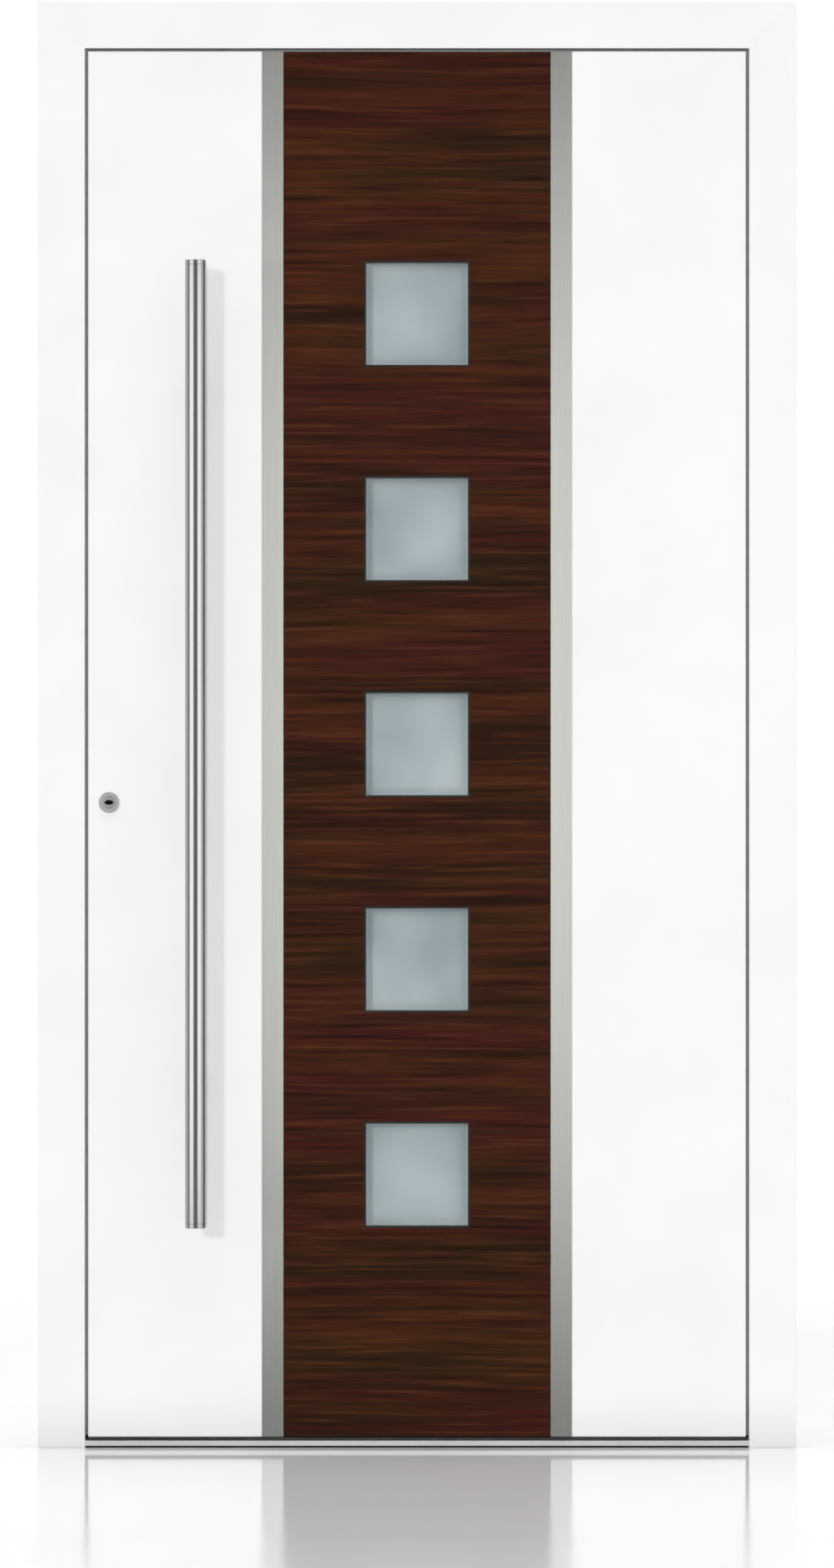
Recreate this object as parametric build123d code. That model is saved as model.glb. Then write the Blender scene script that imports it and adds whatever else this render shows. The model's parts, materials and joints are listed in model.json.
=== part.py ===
from build123d import *
import os

# A flush aluminium entrance door in its frame, closed, at real size in millimetres.
# X runs to the right as seen from outside, Y from outside to inside and Z up.
# The origin is under the middle of the threshold, half way through the frame's depth.
# The lock is on the left seen from outside, the hinges are inside on the right, and
# the leaf opens inwards.

# Frame: two jambs and a head, each an outer and an inner shell with a break between
FRAME_WIDTH = 1100.0
FRAME_HEIGHT = 2100.0
FRAME_DEPTH = 75.0
FRAME_FACE = 68.0
OUTER_LEG = 25.0
FRAME_BREAK = 20.0
BREAK_INSET = 3.0

# Room between the leaf and the frame
SHADOW_GAP = 5.0
REBATE = 25.0
BOTTOM_GAP = 6.0
GASKET_THICKNESS = 5.0
GASKET_WIDTH = 12.0
GASKET_SET_IN = 4.0
GASKET_CLEARANCE = 5.0

# Threshold between the jambs
THRESHOLD_HEIGHT = 10.0
UNDERCUT_HEIGHT = 3.0
UNDERCUT_DEPTH = 10.0
BREAK_DROP = 1.0

# Leaf: sash members behind an outside skin, and a framed infill inside
SHEET = 4.0
LEAF_BREAK = 20.0
STILE_WIDTH = 75.0
TOP_RAIL_WIDTH = 75.0
BOTTOM_RAIL_WIDTH = 110.0
INFILL_RECESS = 12.0
INSIDE_SHEET = 2.0
BEAD_WIDTH = 18.0
BEAD_BEVEL = 4.0
WOOD_WIDTH = 388.0
STRIP_WIDTH = 31.0
STRIP_PROUD = 0.6
SEAL_WIDTH = 14.0
SEAL_HEIGHT = 12.0
SEAL_PROUD = 1.0

# Square windows in a column up the middle of the leaf
WINDOW_COUNT = 5
WINDOW_PITCH = 312.5
WINDOW_SIZE = 154.0
GLASS_RECESS = 25.0
LINING_WALL = 3.0
LINING_BEVEL = 2.5
LINING_SETBACK = 0.5
PANE_THICKNESS = 6.0
PANE_SPACING = 20.0
SPACER_HEIGHT = 10.0
TRIM_WIDTH = 12.0
TRIM_THICKNESS = 2.0

# Pull bar outside
PULL_LENGTH = 1400.0
PULL_DIAMETER = 30.0
PULL_WALL = 2.0
PULL_SET_IN = 157.0
PULL_STANDOFF = 60.0
CAP_LENGTH = 7.0
SPIGOT_LENGTH = 12.0
POST_DIAMETER = 18.0
POST_PITCH = 1000.0
POST_BASE_DIAMETER = 26.0
POST_BASE_THICKNESS = 4.0

# Lock and inside lever
LOCK_HEIGHT = 937.0
LOCK_SET_IN = 30.0
ROSETTE_DIAMETER = 30.0
ROSETTE_THICKNESS = 4.0
ROSETTE_ROUND = 1.2
CORE_DIAMETER = 17.0
CORE_PROUD = 0.5
KEYWAY_WIDTH = 11.0
KEYWAY_HEIGHT = 3.4
KEYWAY_DEPTH = 12.0
LEVER_RISE = 92.0
LEVER_DIAMETER = 18.0
LEVER_LENGTH = 125.0
LEVER_STANDOFF = 52.0
LEVER_BEND = 20.0
LEVER_ROUND = 5.0
INSIDE_ROSETTE_DIAMETER = 52.0
INSIDE_ROSETTE_THICKNESS = 8.0
INSIDE_ROSETTE_ROUND = 2.0
INSIDE_NOSE = 3.0

# Lock plate on the leaf's edge, with its bolts drawn back, and strikes on the frame
LOCK_PLATE_WIDTH = 24.0
LOCK_PLATE_THICKNESS = 3.0
LOCK_PLATE_END_DISTANCE = 140.0
LATCH_RISE = 108.0
DEADBOLT_RISE = 48.0
END_BOLT_DISTANCE = 200.0
BOLT_WIDTH = 14.0
BOLT_HEIGHT = 34.0
STRIKE_MARGIN = 32.0
STRIKE_POCKET = 12.0
STRIKE_PLAY = 2.0

# Three hinges inside
HINGE_END_DISTANCE = 205.0
HINGE_STANDOFF = 15.0
HINGE_RADIUS = 10.0
HINGE_PIN_RADIUS = 5.0
LEAF_KNUCKLE = 56.0
FRAME_KNUCKLE = 28.0
KNUCKLE_PLAY = 0.5
HINGE_ARM = 13.0
HINGE_PLATE_WIDTH = 30.0
HINGE_PLATE_THICKNESS = 6.0
HINGE_PLATE_SET_BACK = 9.0
PIN_HEAD_RADIUS = 8.0
PIN_HEAD_HEIGHT = 3.0

# Holes through the jambs for the fixings into the wall
FIXING_RADIUS = 5.25
FIXING_END_DISTANCE = 190.0
FIXING_INNER_PITCH = 640.0

# Fits and eased edges
RUNNING_PLAY = 0.3
SEAT_PLAY = 0.05
JOINT_PLAY = 0.3
EDGE = 0.6

# Levels through the depth
FRONT = -FRAME_DEPTH / 2
BACK = FRAME_DEPTH / 2
LEG_BACK = FRONT + OUTER_LEG
FRAME_INNER_FRONT = LEG_BACK + FRAME_BREAK
FLANGE_FRONT = LEG_BACK + GASKET_THICKNESS + GASKET_CLEARANCE
SHEET_BACK = FRONT + SHEET
LEAF_OUTER_BACK = FLANGE_FRONT - LEAF_BREAK
INFILL_BACK = BACK - INFILL_RECESS
CORE_BACK = INFILL_BACK - INSIDE_SHEET
LOCK_LINE = (FRAME_INNER_FRONT + BACK) / 2

# Distances from the middle of the door
FRAME_HALF = FRAME_WIDTH / 2
SIGHT_HALF = FRAME_HALF - FRAME_FACE
LEAF_HALF = SIGHT_HALF - SHADOW_GAP
FLANGE_HALF = LEAF_HALF + REBATE
REBATE_HALF = FLANGE_HALF + SHADOW_GAP
INFILL_HALF = LEAF_HALF - STILE_WIDTH
WOOD_HALF = WOOD_WIDTH / 2
STRIP_HALF = WOOD_HALF + STRIP_WIDTH
PULL_X = -LEAF_HALF + PULL_SET_IN
LOCK_X = -LEAF_HALF + LOCK_SET_IN
HINGE_X = (FLANGE_HALF + REBATE_HALF) / 2
HINGE_Y = BACK + HINGE_STANDOFF

# Heights above the floor
HEAD_SIGHT = FRAME_HEIGHT - FRAME_FACE
LEAF_TOP = HEAD_SIGHT - SHADOW_GAP
FLANGE_TOP = LEAF_TOP + REBATE
HEAD_REBATE = FLANGE_TOP + SHADOW_GAP
LEAF_BOTTOM = THRESHOLD_HEIGHT + BOTTOM_GAP
LEAF_MIDDLE = (LEAF_BOTTOM + LEAF_TOP) / 2
INFILL_BOTTOM = LEAF_BOTTOM + BOTTOM_RAIL_WIDTH
INFILL_TOP = LEAF_TOP - TOP_RAIL_WIDTH
LEVER_HEIGHT = LOCK_HEIGHT + LEVER_RISE
LATCH_HEIGHT = LOCK_HEIGHT + LATCH_RISE
DEADBOLT_HEIGHT = LOCK_HEIGHT + DEADBOLT_RISE
LOCK_PLATE_BOTTOM = LEAF_BOTTOM + LOCK_PLATE_END_DISTANCE
LOCK_PLATE_TOP = FLANGE_TOP - LOCK_PLATE_END_DISTANCE
LOWER_BOLT_HEIGHT = LOCK_PLATE_BOTTOM + END_BOLT_DISTANCE
UPPER_BOLT_HEIGHT = LOCK_PLATE_TOP - END_BOLT_DISTANCE
HINGE_HEIGHTS = (LEAF_BOTTOM + HINGE_END_DISTANCE, LEAF_MIDDLE, LEAF_TOP - HINGE_END_DISTANCE)
FIXING_HEIGHTS = (
    FIXING_END_DISTANCE,
    (FRAME_HEIGHT - FIXING_INNER_PITCH) / 2,
    (FRAME_HEIGHT + FIXING_INNER_PITCH) / 2,
    FRAME_HEIGHT - FIXING_END_DISTANCE,
)
WINDOW_HEIGHTS = [
    LEAF_MIDDLE + WINDOW_PITCH * ((WINDOW_COUNT - 1) / 2 - row)
    for row in range(WINDOW_COUNT)
]


# Shapes that the pieces are made of

def block(x_span, y_span, z_span):
    """A square-edged bar between three pairs of limits."""
    spans = (x_span, y_span, z_span)
    centre = [(low + high) / 2 for low, high in spans]
    return Pos(*centre) * Box(*[high - low for low, high in spans])


def slab(outline, front, back):
    """An outline drawn on the door's face, given its depth from front to back."""
    face_plane = Plane((0, back, 0), x_dir=(1, 0, 0), z_dir=(0, -1, 0))
    return extrude(face_plane * make_face(Polyline(*outline, close=True)), back - front)


def rod(x, z, diameter, front, back):
    """A round bar that runs through the depth of the door."""
    return Pos(x, (front + back) / 2, z) * Rot(90, 0, 0) * Cylinder(diameter / 2, back - front)


def upright(x, y, radius, bottom, top):
    """A round bar that stands upright."""
    return Pos(x, y, (bottom + top) / 2) * Cylinder(radius, top - bottom)


def square_hole(height, size, front, back):
    """The space that one window takes through a layer of the leaf."""
    return block((-size / 2, size / 2), (front, back), (height - size / 2, height + size / 2))


def ease_front(piece, size=EDGE):
    """Takes the sharpness off the edges of the face that looks outside."""
    return chamfer(piece.faces().sort_by(Axis.Y)[0].edges(), size)


def ease_back(piece, size=EDGE):
    """Takes the sharpness off the edges of the face that looks inside."""
    return chamfer(piece.faces().sort_by(Axis.Y)[-1].edges(), size)


def on_side(outline, side):
    """The same outline for the right side, or turned over for the left."""
    return [(side * x, z) for x, z in outline]


def span(side, near, far):
    """Limits across the door at two distances from its middle, on one side."""
    return tuple(sorted((side * near, side * far)))


# Frame

def strike_rows():
    """Heights of the bolts that each strike plate takes."""
    return [(LOWER_BOLT_HEIGHT,), (DEADBOLT_HEIGHT, LATCH_HEIGHT), (UPPER_BOLT_HEIGHT,)]


def lock_line_block(x_span, width, bottom, top):
    """A bar on the line of the lock, across the depth of the door."""
    return block(x_span, (LOCK_LINE - width / 2, LOCK_LINE + width / 2), (bottom, top))


def strike_seat(rows):
    """The place that one strike plate fills in the lock jamb."""
    return lock_line_block(
        (-REBATE_HALF - LOCK_PLATE_THICKNESS, -REBATE_HALF),
        LOCK_PLATE_WIDTH,
        min(rows) - BOLT_HEIGHT / 2 - STRIKE_MARGIN,
        max(rows) + BOLT_HEIGHT / 2 + STRIKE_MARGIN,
    )


def bolt_pocket(height):
    """The hole in a strike plate and the jamb that one bolt shoots into."""
    return lock_line_block(
        (-REBATE_HALF - STRIKE_POCKET, -REBATE_HALF),
        BOLT_WIDTH + STRIKE_PLAY,
        height - BOLT_HEIGHT / 2 - STRIKE_PLAY,
        height + BOLT_HEIGHT / 2 + STRIKE_PLAY,
    )


def fixing_holes(side):
    """Four holes across a jamb for the fixings into the wall."""
    middle = side * (REBATE_HALF + FRAME_HALF) / 2
    length = FRAME_HALF - REBATE_HALF
    return [
        Pos(middle, LOCK_LINE, height) * Rot(0, 90, 0) * Cylinder(FIXING_RADIUS, length)
        for height in FIXING_HEIGHTS
    ]


def jamb(side):
    """The outer and inner shells of one jamb, cut to a mitre at the head."""
    outer = [(SIGHT_HALF, 0), (FRAME_HALF, 0), (FRAME_HALF, FRAME_HEIGHT), (SIGHT_HALF, HEAD_SIGHT)]
    inner = [(REBATE_HALF, 0), (FRAME_HALF, 0), (FRAME_HALF, FRAME_HEIGHT), (REBATE_HALF, HEAD_REBATE)]
    outer_shell = ease_front(slab(on_side(outer, side), FRONT, LEG_BACK))
    inner_shell = ease_back(slab(on_side(inner, side), FRAME_INNER_FRONT, BACK))
    for hole in fixing_holes(side):
        inner_shell -= hole
    return [outer_shell, inner_shell]


def lock_jamb():
    """The jamb on the left, with its strikes let in."""
    outer_shell, inner_shell = jamb(-1)
    for rows in strike_rows():
        inner_shell -= strike_seat(rows)
        for height in rows:
            inner_shell -= bolt_pocket(height)
    return [outer_shell, inner_shell]


def strike_plates():
    """Three plates let into the lock jamb, with a hole for each bolt."""
    plates = []
    for rows in strike_rows():
        plate = strike_seat(rows)
        for height in rows:
            plate -= bolt_pocket(height)
        plates.append(plate)
    return plates


def head():
    """The outer and inner shells of the head, cut to a mitre at both ends."""
    top = [(FRAME_HALF, FRAME_HEIGHT), (-FRAME_HALF, FRAME_HEIGHT)]
    outer = top + [(-SIGHT_HALF, HEAD_SIGHT), (SIGHT_HALF, HEAD_SIGHT)]
    inner = top + [(-REBATE_HALF, HEAD_REBATE), (REBATE_HALF, HEAD_REBATE)]
    return [
        ease_front(slab(outer, FRONT, LEG_BACK)),
        ease_back(slab(inner, FRAME_INNER_FRONT, BACK)),
    ]


def frame_thermal_breaks():
    """The insulating bars between the shells of the jambs and the head."""
    depth = (LEG_BACK, FRAME_INNER_FRONT)
    inner_side = REBATE_HALF + BREAK_INSET
    outer_side = FRAME_HALF - BREAK_INSET
    posts = [block(span(side, inner_side, outer_side), depth, (0, HEAD_REBATE)) for side in (-1, 1)]
    lintel = block(
        (-outer_side, outer_side),
        depth,
        (HEAD_REBATE + BREAK_INSET, FRAME_HEIGHT - BREAK_INSET),
    )
    return posts + [lintel]


def frame_gaskets():
    """The stop gaskets on the back of the outer shells, which the leaf closes towards."""
    depth = (LEG_BACK, LEG_BACK + GASKET_THICKNESS)
    near = SIGHT_HALF + GASKET_SET_IN
    far = near + GASKET_WIDTH
    bottom_of_head = HEAD_SIGHT + GASKET_SET_IN
    posts = [
        block(span(side, near, far), depth, (THRESHOLD_HEIGHT, bottom_of_head - JOINT_PLAY))
        for side in (-1, 1)
    ]
    lintel = block((-far, far), depth, (bottom_of_head, bottom_of_head + GASKET_WIDTH))
    return posts + [lintel]


def threshold():
    """The outer and inner bars of the threshold, the outer one undercut along its foot."""
    outer = ease_front(
        block((-SIGHT_HALF, SIGHT_HALF), (FRONT, LEG_BACK), (0, THRESHOLD_HEIGHT))
    )
    outer -= block(
        (-SIGHT_HALF, SIGHT_HALF),
        (FRONT, FRONT + UNDERCUT_DEPTH),
        (0, UNDERCUT_HEIGHT),
    )
    inner = ease_back(
        block((-REBATE_HALF, REBATE_HALF), (FRAME_INNER_FRONT, BACK), (0, THRESHOLD_HEIGHT))
    )
    return [outer, inner]


def threshold_break():
    """The insulating bar between the two bars of the threshold."""
    depth = (LEG_BACK, FRAME_INNER_FRONT)
    return [block((-REBATE_HALF, REBATE_HALF), depth, (0, THRESHOLD_HEIGHT - BREAK_DROP))]


# Leaf

def stile(side):
    """The outer and inner shells of an upright of the sash, mitred at the top rail."""
    corner = (INFILL_HALF, INFILL_TOP)
    outer = [(INFILL_HALF, LEAF_BOTTOM), (LEAF_HALF, LEAF_BOTTOM), (LEAF_HALF, LEAF_TOP), corner]
    inner = [(INFILL_HALF, LEAF_BOTTOM), (FLANGE_HALF, LEAF_BOTTOM), (FLANGE_HALF, FLANGE_TOP), corner]
    return [
        slab(on_side(outer, side), SHEET_BACK, LEAF_OUTER_BACK),
        ease_back(slab(on_side(inner, side), FLANGE_FRONT, BACK)),
    ]


def lock_bore(diameter, front, back):
    """A round hole on the lock's axis."""
    return rod(LOCK_X, LOCK_HEIGHT, diameter, front, back)


def lock_plate_seat():
    """The place that the lock plate fills on the leaf's edge."""
    return lock_line_block(
        (-FLANGE_HALF, -FLANGE_HALF + LOCK_PLATE_THICKNESS),
        LOCK_PLATE_WIDTH,
        LOCK_PLATE_BOTTOM,
        LOCK_PLATE_TOP,
    )


def lock_stile():
    """The stile on the left, bored for the lock and grooved for its plate."""
    outer_shell, inner_shell = stile(-1)
    outer_shell -= lock_bore(CORE_DIAMETER + 2 * RUNNING_PLAY, SHEET_BACK, LEAF_OUTER_BACK)
    return [outer_shell, inner_shell - lock_plate_seat()]


def top_rail():
    """The outer and inner shells of the top of the sash, mitred at both ends."""
    corners = [(-INFILL_HALF, INFILL_TOP), (INFILL_HALF, INFILL_TOP)]
    outer = corners + [(LEAF_HALF, LEAF_TOP), (-LEAF_HALF, LEAF_TOP)]
    inner = corners + [(FLANGE_HALF, FLANGE_TOP), (-FLANGE_HALF, FLANGE_TOP)]
    return [
        slab(outer, SHEET_BACK, LEAF_OUTER_BACK),
        ease_back(slab(inner, FLANGE_FRONT, BACK)),
    ]


def seal_seat():
    """The groove for the drop seal, along the middle of the bottom rail's inner shell."""
    middle = (FLANGE_FRONT + BACK) / 2
    return block(
        (-INFILL_HALF, INFILL_HALF),
        (middle - SEAL_WIDTH / 2, middle + SEAL_WIDTH / 2),
        (LEAF_BOTTOM, LEAF_BOTTOM + SEAL_HEIGHT),
    )


def bottom_rail():
    """The outer and inner shells of the bottom of the sash, between the stiles."""
    across = (-INFILL_HALF, INFILL_HALF)
    up = (LEAF_BOTTOM, INFILL_BOTTOM)
    outer = block(across, (SHEET_BACK, LEAF_OUTER_BACK), up)
    inner = ease_back(block(across, (FLANGE_FRONT, BACK), up))
    return [outer, inner - seal_seat()]


def drop_seal():
    """The seal under the leaf, which stands a little proud of its groove."""
    seat = seal_seat().bounding_box()
    return [
        block(
            (seat.min.X, seat.max.X),
            (seat.min.Y, seat.max.Y),
            (seat.min.Z - SEAL_PROUD, seat.max.Z),
        )
    ]


def leaf_thermal_breaks():
    """The insulating bars between the shells of the sash."""
    depth = (LEAF_OUTER_BACK, FLANGE_FRONT)
    near = INFILL_HALF + BREAK_INSET
    far = LEAF_HALF - BREAK_INSET
    low = LEAF_BOTTOM + BREAK_INSET
    high = LEAF_TOP - BREAK_INSET
    posts = [block(span(side, near, far), depth, (low, high)) for side in (-1, 1)]
    across = (-INFILL_HALF, INFILL_HALF)
    return posts + [
        block(across, depth, (low, INFILL_BOTTOM)),
        block(across, depth, (INFILL_TOP, high)),
    ]


def outside_sheet(left, right, front=FRONT):
    """One full-height sheet of the leaf's outside skin."""
    return ease_front(block((left, right), (front, SHEET_BACK), (LEAF_BOTTOM, LEAF_TOP)))


def left_panel():
    """The white sheet beside the lock."""
    bore = lock_bore(CORE_DIAMETER + 2 * RUNNING_PLAY, FRONT, SHEET_BACK)
    return [outside_sheet(-LEAF_HALF, -STRIP_HALF) - bore]


def wood_panel():
    """The dark middle sheet, cut out for the windows."""
    sheet = outside_sheet(-WOOD_HALF, WOOD_HALF)
    for height in WINDOW_HEIGHTS:
        sheet -= square_hole(height, WINDOW_SIZE, FRONT, SHEET_BACK)
    return [sheet]


def infill_layer(front, back):
    """One layer of the infill between the sash members, cut out for the windows."""
    layer = block((-INFILL_HALF, INFILL_HALF), (front, back), (INFILL_BOTTOM, INFILL_TOP))
    for height in WINDOW_HEIGHTS:
        layer -= square_hole(height, WINDOW_SIZE, front, back)
    return layer


def glazing_bead(x_span, z_span, inner_face):
    """One bead that holds the infill, bevelled on the edge towards the middle."""
    bead = block(x_span, (INFILL_BACK, BACK), z_span)
    edge = bead.faces().sort_by(inner_face)[-1].edges().sort_by(Axis.Y)[-1]
    return chamfer(edge, BEAD_BEVEL)


def glazing_beads():
    """Four beads around the infill, on the inside."""
    near = INFILL_HALF - BEAD_WIDTH
    up = (INFILL_BOTTOM, INFILL_TOP)
    across = (-near + JOINT_PLAY, near - JOINT_PLAY)
    towards = {-1: Axis.X, 1: -Axis.X}
    uprights = [glazing_bead(span(side, near, INFILL_HALF), up, towards[side]) for side in (-1, 1)]
    low = glazing_bead(across, (INFILL_BOTTOM, INFILL_BOTTOM + BEAD_WIDTH), Axis.Z)
    high = glazing_bead(across, (INFILL_TOP - BEAD_WIDTH, INFILL_TOP), -Axis.Z)
    return uprights + [low, high]


# Windows

GLASS_FRONT = FRONT + GLASS_RECESS
GLASS_SIZE = WINDOW_SIZE - 2 * LINING_WALL
SPACER_FRONT = GLASS_FRONT + PANE_THICKNESS
SPACER_BACK = SPACER_FRONT + PANE_SPACING


def window_lining(height):
    """A metal sleeve through the leaf, with a rib between the panes and a trim inside."""
    front = FRONT + LINING_SETBACK
    back = INFILL_BACK + TRIM_THICKNESS
    sleeve = square_hole(height, WINDOW_SIZE, front, back)
    sleeve -= square_hole(height, GLASS_SIZE, front, back)
    rim = sleeve.faces().sort_by(Axis.Y)[0].inner_wires()[0].edges()
    sleeve = chamfer(rim, LINING_BEVEL)
    rib = square_hole(height, GLASS_SIZE, SPACER_FRONT, SPACER_BACK)
    rib -= square_hole(height, GLASS_SIZE - 2 * SPACER_HEIGHT, SPACER_FRONT, SPACER_BACK)
    trim = square_hole(height, WINDOW_SIZE + 2 * TRIM_WIDTH, INFILL_BACK, back)
    trim -= square_hole(height, WINDOW_SIZE, INFILL_BACK, back)
    return [sleeve + rib + ease_back(trim)]


def window_glass(height):
    """The outer and the inner pane, each against the rib of the lining."""
    size = GLASS_SIZE - 2 * SEAT_PLAY
    outer = square_hole(height, size, GLASS_FRONT, SPACER_FRONT)
    inner = square_hole(height, size, SPACER_BACK, SPACER_BACK + PANE_THICKNESS)
    return [outer, inner]


# Pull bar

PULL_Y = FRONT - PULL_STANDOFF
PULL_BOTTOM = LEAF_MIDDLE - PULL_LENGTH / 2
PULL_TOP = LEAF_MIDDLE + PULL_LENGTH / 2
TUBE_BORE = PULL_DIAMETER / 2 - PULL_WALL


def pull_bar():
    """The tube of the pull bar, between its end caps."""
    bottom, top = PULL_BOTTOM + CAP_LENGTH, PULL_TOP - CAP_LENGTH
    tube = upright(PULL_X, PULL_Y, PULL_DIAMETER / 2, bottom, top)
    return [tube - upright(PULL_X, PULL_Y, TUBE_BORE, bottom, top)]


def pull_bar_caps():
    """Two flat caps, each with a spigot in the tube."""
    caps = []
    for end, inwards in ((PULL_BOTTOM, 1), (PULL_TOP, -1)):
        shoulder = end + inwards * CAP_LENGTH
        tip = shoulder + inwards * SPIGOT_LENGTH
        disc = upright(PULL_X, PULL_Y, PULL_DIAMETER / 2, *sorted((end, shoulder)))
        disc = chamfer(disc.edges().filter_by(GeomType.CIRCLE), EDGE)
        spigot = upright(PULL_X, PULL_Y, TUBE_BORE - SEAT_PLAY, *sorted((shoulder, tip)))
        caps.append(disc + spigot)
    return caps


def pull_bar_posts():
    """Two round posts between the leaf and the back of the bar."""
    posts = []
    for height in (LEAF_MIDDLE - POST_PITCH / 2, LEAF_MIDDLE + POST_PITCH / 2):
        post = rod(PULL_X, height, POST_DIAMETER, PULL_Y, FRONT)
        base = rod(PULL_X, height, POST_BASE_DIAMETER, FRONT - POST_BASE_THICKNESS, FRONT)
        saddle = upright(
            PULL_X,
            PULL_Y,
            PULL_DIAMETER / 2 + SEAT_PLAY,
            height - POST_DIAMETER,
            height + POST_DIAMETER,
        )
        posts.append(post + ease_front(base) - saddle)
    return posts


# Lock and lever

def lock_rosette():
    """The round plate around the lock outside."""
    front = FRONT - ROSETTE_THICKNESS
    disc = rod(LOCK_X, LOCK_HEIGHT, ROSETTE_DIAMETER, front, FRONT)
    disc = fillet(disc.faces().sort_by(Axis.Y)[0].edges(), ROSETTE_ROUND)
    return [disc - lock_bore(CORE_DIAMETER + 2 * RUNNING_PLAY, front, FRONT)]


def keyway(front):
    """The flat slot for the key."""
    return block(
        (LOCK_X - KEYWAY_WIDTH / 2, LOCK_X + KEYWAY_WIDTH / 2),
        (front, front + KEYWAY_DEPTH),
        (LOCK_HEIGHT - KEYWAY_HEIGHT / 2, LOCK_HEIGHT + KEYWAY_HEIGHT / 2),
    )


def lock_core():
    """The round core that the key turns."""
    front = FRONT - ROSETTE_THICKNESS - CORE_PROUD
    core = ease_front(lock_bore(CORE_DIAMETER, front, LEAF_OUTER_BACK - RUNNING_PLAY))
    return [core - keyway(front)]


def inside_rosettes():
    """The round plates under the lever and around the lock inside."""
    back = BACK + INSIDE_ROSETTE_THICKNESS
    plates = []
    for height in (LEVER_HEIGHT, LOCK_HEIGHT):
        disc = rod(LOCK_X, height, INSIDE_ROSETTE_DIAMETER, BACK, back)
        plates.append(fillet(disc.faces().sort_by(Axis.Y)[-1].edges(), INSIDE_ROSETTE_ROUND))
    nose = ease_back(lock_bore(CORE_DIAMETER, back, back + INSIDE_NOSE))
    plates[1] = plates[1] + nose - keyway(back + INSIDE_NOSE - KEYWAY_DEPTH)
    return plates


def inside_lever():
    """A round bar bent to an L, from its rosette towards the hinges."""
    start = BACK + INSIDE_ROSETTE_THICKNESS
    reach = BACK + LEVER_STANDOFF
    path = FilletPolyline(
        (LOCK_X, start, LEVER_HEIGHT),
        (LOCK_X, reach, LEVER_HEIGHT),
        (LOCK_X + LEVER_LENGTH, reach, LEVER_HEIGHT),
        radius=LEVER_BEND,
    )
    section = Plane((LOCK_X, start, LEVER_HEIGHT), z_dir=(0, 1, 0)) * Circle(LEVER_DIAMETER / 2)
    lever = sweep(section, path=path)
    return [fillet(lever.faces().sort_by(Axis.X)[-1].edges(), LEVER_ROUND)]


def bolt_heights():
    """Heights of all the bolts, from the bottom up."""
    return [height for rows in strike_rows() for height in rows]


def bolt_end(height, play=0.0):
    """The end of one bolt, drawn back flush with the lock plate."""
    return lock_line_block(
        (-FLANGE_HALF, -FLANGE_HALF + LOCK_PLATE_THICKNESS),
        BOLT_WIDTH + 2 * play,
        height - BOLT_HEIGHT / 2 - play,
        height + BOLT_HEIGHT / 2 + play,
    )


def lock_plate():
    """The long plate on the leaf's edge, with a hole for each bolt."""
    plate = lock_plate_seat()
    for height in bolt_heights():
        plate -= bolt_end(height, JOINT_PLAY)
    return [plate]


# Hinges

def hinge_levels(middle):
    """Where one hinge's knuckles start and end, from the bottom up."""
    leaf = (middle - LEAF_KNUCKLE / 2, middle + LEAF_KNUCKLE / 2)
    lower = (leaf[0] - KNUCKLE_PLAY - FRAME_KNUCKLE, leaf[0] - KNUCKLE_PLAY)
    upper = (leaf[1] + KNUCKLE_PLAY, leaf[1] + KNUCKLE_PLAY + FRAME_KNUCKLE)
    return lower, leaf, upper


def knuckle(side, edge, levels, bore):
    """One barrel with the arm that joins it to its plate, bored for the pin."""
    barrel = upright(HINGE_X, HINGE_Y, HINGE_RADIUS, *levels)
    arm = block(tuple(sorted((edge, edge + side * HINGE_ARM))), (BACK, HINGE_Y), levels)
    return barrel + arm - upright(HINGE_X, HINGE_Y, bore, *levels)


def hinge_plate(side, edge, levels):
    """The flat plate that one half of a hinge is screwed down by."""
    near = edge + side * HINGE_PLATE_SET_BACK
    far = near + side * HINGE_PLATE_WIDTH
    plate = block(tuple(sorted((near, far))), (BACK, BACK + HINGE_PLATE_THICKNESS), levels)
    return ease_back(plate)


def hinge_frame_halves():
    """On the jamb, a plate with a knuckle at each end, for each hinge."""
    halves = []
    for middle in HINGE_HEIGHTS:
        lower, _, upper = hinge_levels(middle)
        half = hinge_plate(1, REBATE_HALF, (lower[0], upper[1]))
        for levels in (lower, upper):
            half += knuckle(1, REBATE_HALF, levels, HINGE_PIN_RADIUS + SEAT_PLAY)
        halves.append(half)
    return halves


def hinge_leaf_halves():
    """On the leaf, a plate with one long knuckle, for each hinge."""
    halves = []
    for middle in HINGE_HEIGHTS:
        _, leaf, _ = hinge_levels(middle)
        half = hinge_plate(-1, FLANGE_HALF, leaf)
        half += knuckle(-1, FLANGE_HALF, leaf, HINGE_PIN_RADIUS + RUNNING_PLAY)
        halves.append(half)
    return halves


def hinge_pins():
    """A headed pin through the knuckles of each hinge."""
    pins = []
    for middle in HINGE_HEIGHTS:
        lower, _, upper = hinge_levels(middle)
        pin = upright(HINGE_X, HINGE_Y, HINGE_PIN_RADIUS, lower[0], upper[1])
        for start, end in (
            (lower[0] - PIN_HEAD_HEIGHT, lower[0]),
            (upper[1], upper[1] + PIN_HEAD_HEIGHT),
        ):
            head_disc = upright(HINGE_X, HINGE_Y, PIN_HEAD_RADIUS, start, end)
            pin += chamfer(head_disc.edges().filter_by(GeomType.CIRCLE), EDGE)
        pins.append(pin)
    return pins


# All pieces, each a list of solids under its own name

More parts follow.
